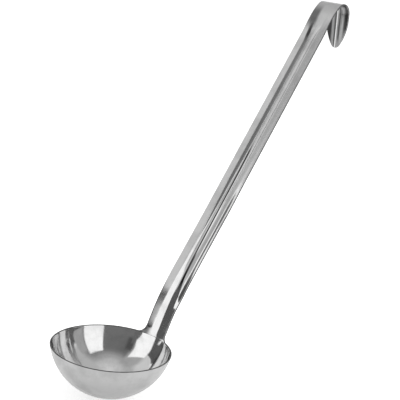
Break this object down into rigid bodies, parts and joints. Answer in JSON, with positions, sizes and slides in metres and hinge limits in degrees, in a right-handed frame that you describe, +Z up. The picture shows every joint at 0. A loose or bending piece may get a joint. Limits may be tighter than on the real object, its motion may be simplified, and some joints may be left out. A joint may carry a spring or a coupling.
{
  "type": "soup ladle",
  "caption": "Pressed steel soup ladle with a round bowl, a long channelled handle and a hook for hanging on a rail.",
  "frame": {"origin": "centre of the hook's bend, the seat on the rail", "axes": "+Z up with the rim of the bowl level, +X the way the handle leans and the hook turns, Y across the handle"},
  "size_m": [0.2656, 0.09, 0.2994],
  "materials": {
    "steel": "polished stainless steel, satin on the outside of the bowl"
  },
  "bodies": {
    "root": {"bowl": "steel", "neck": "steel", "handle": "steel", "hook": "steel"}
  },
  "joints": []
}
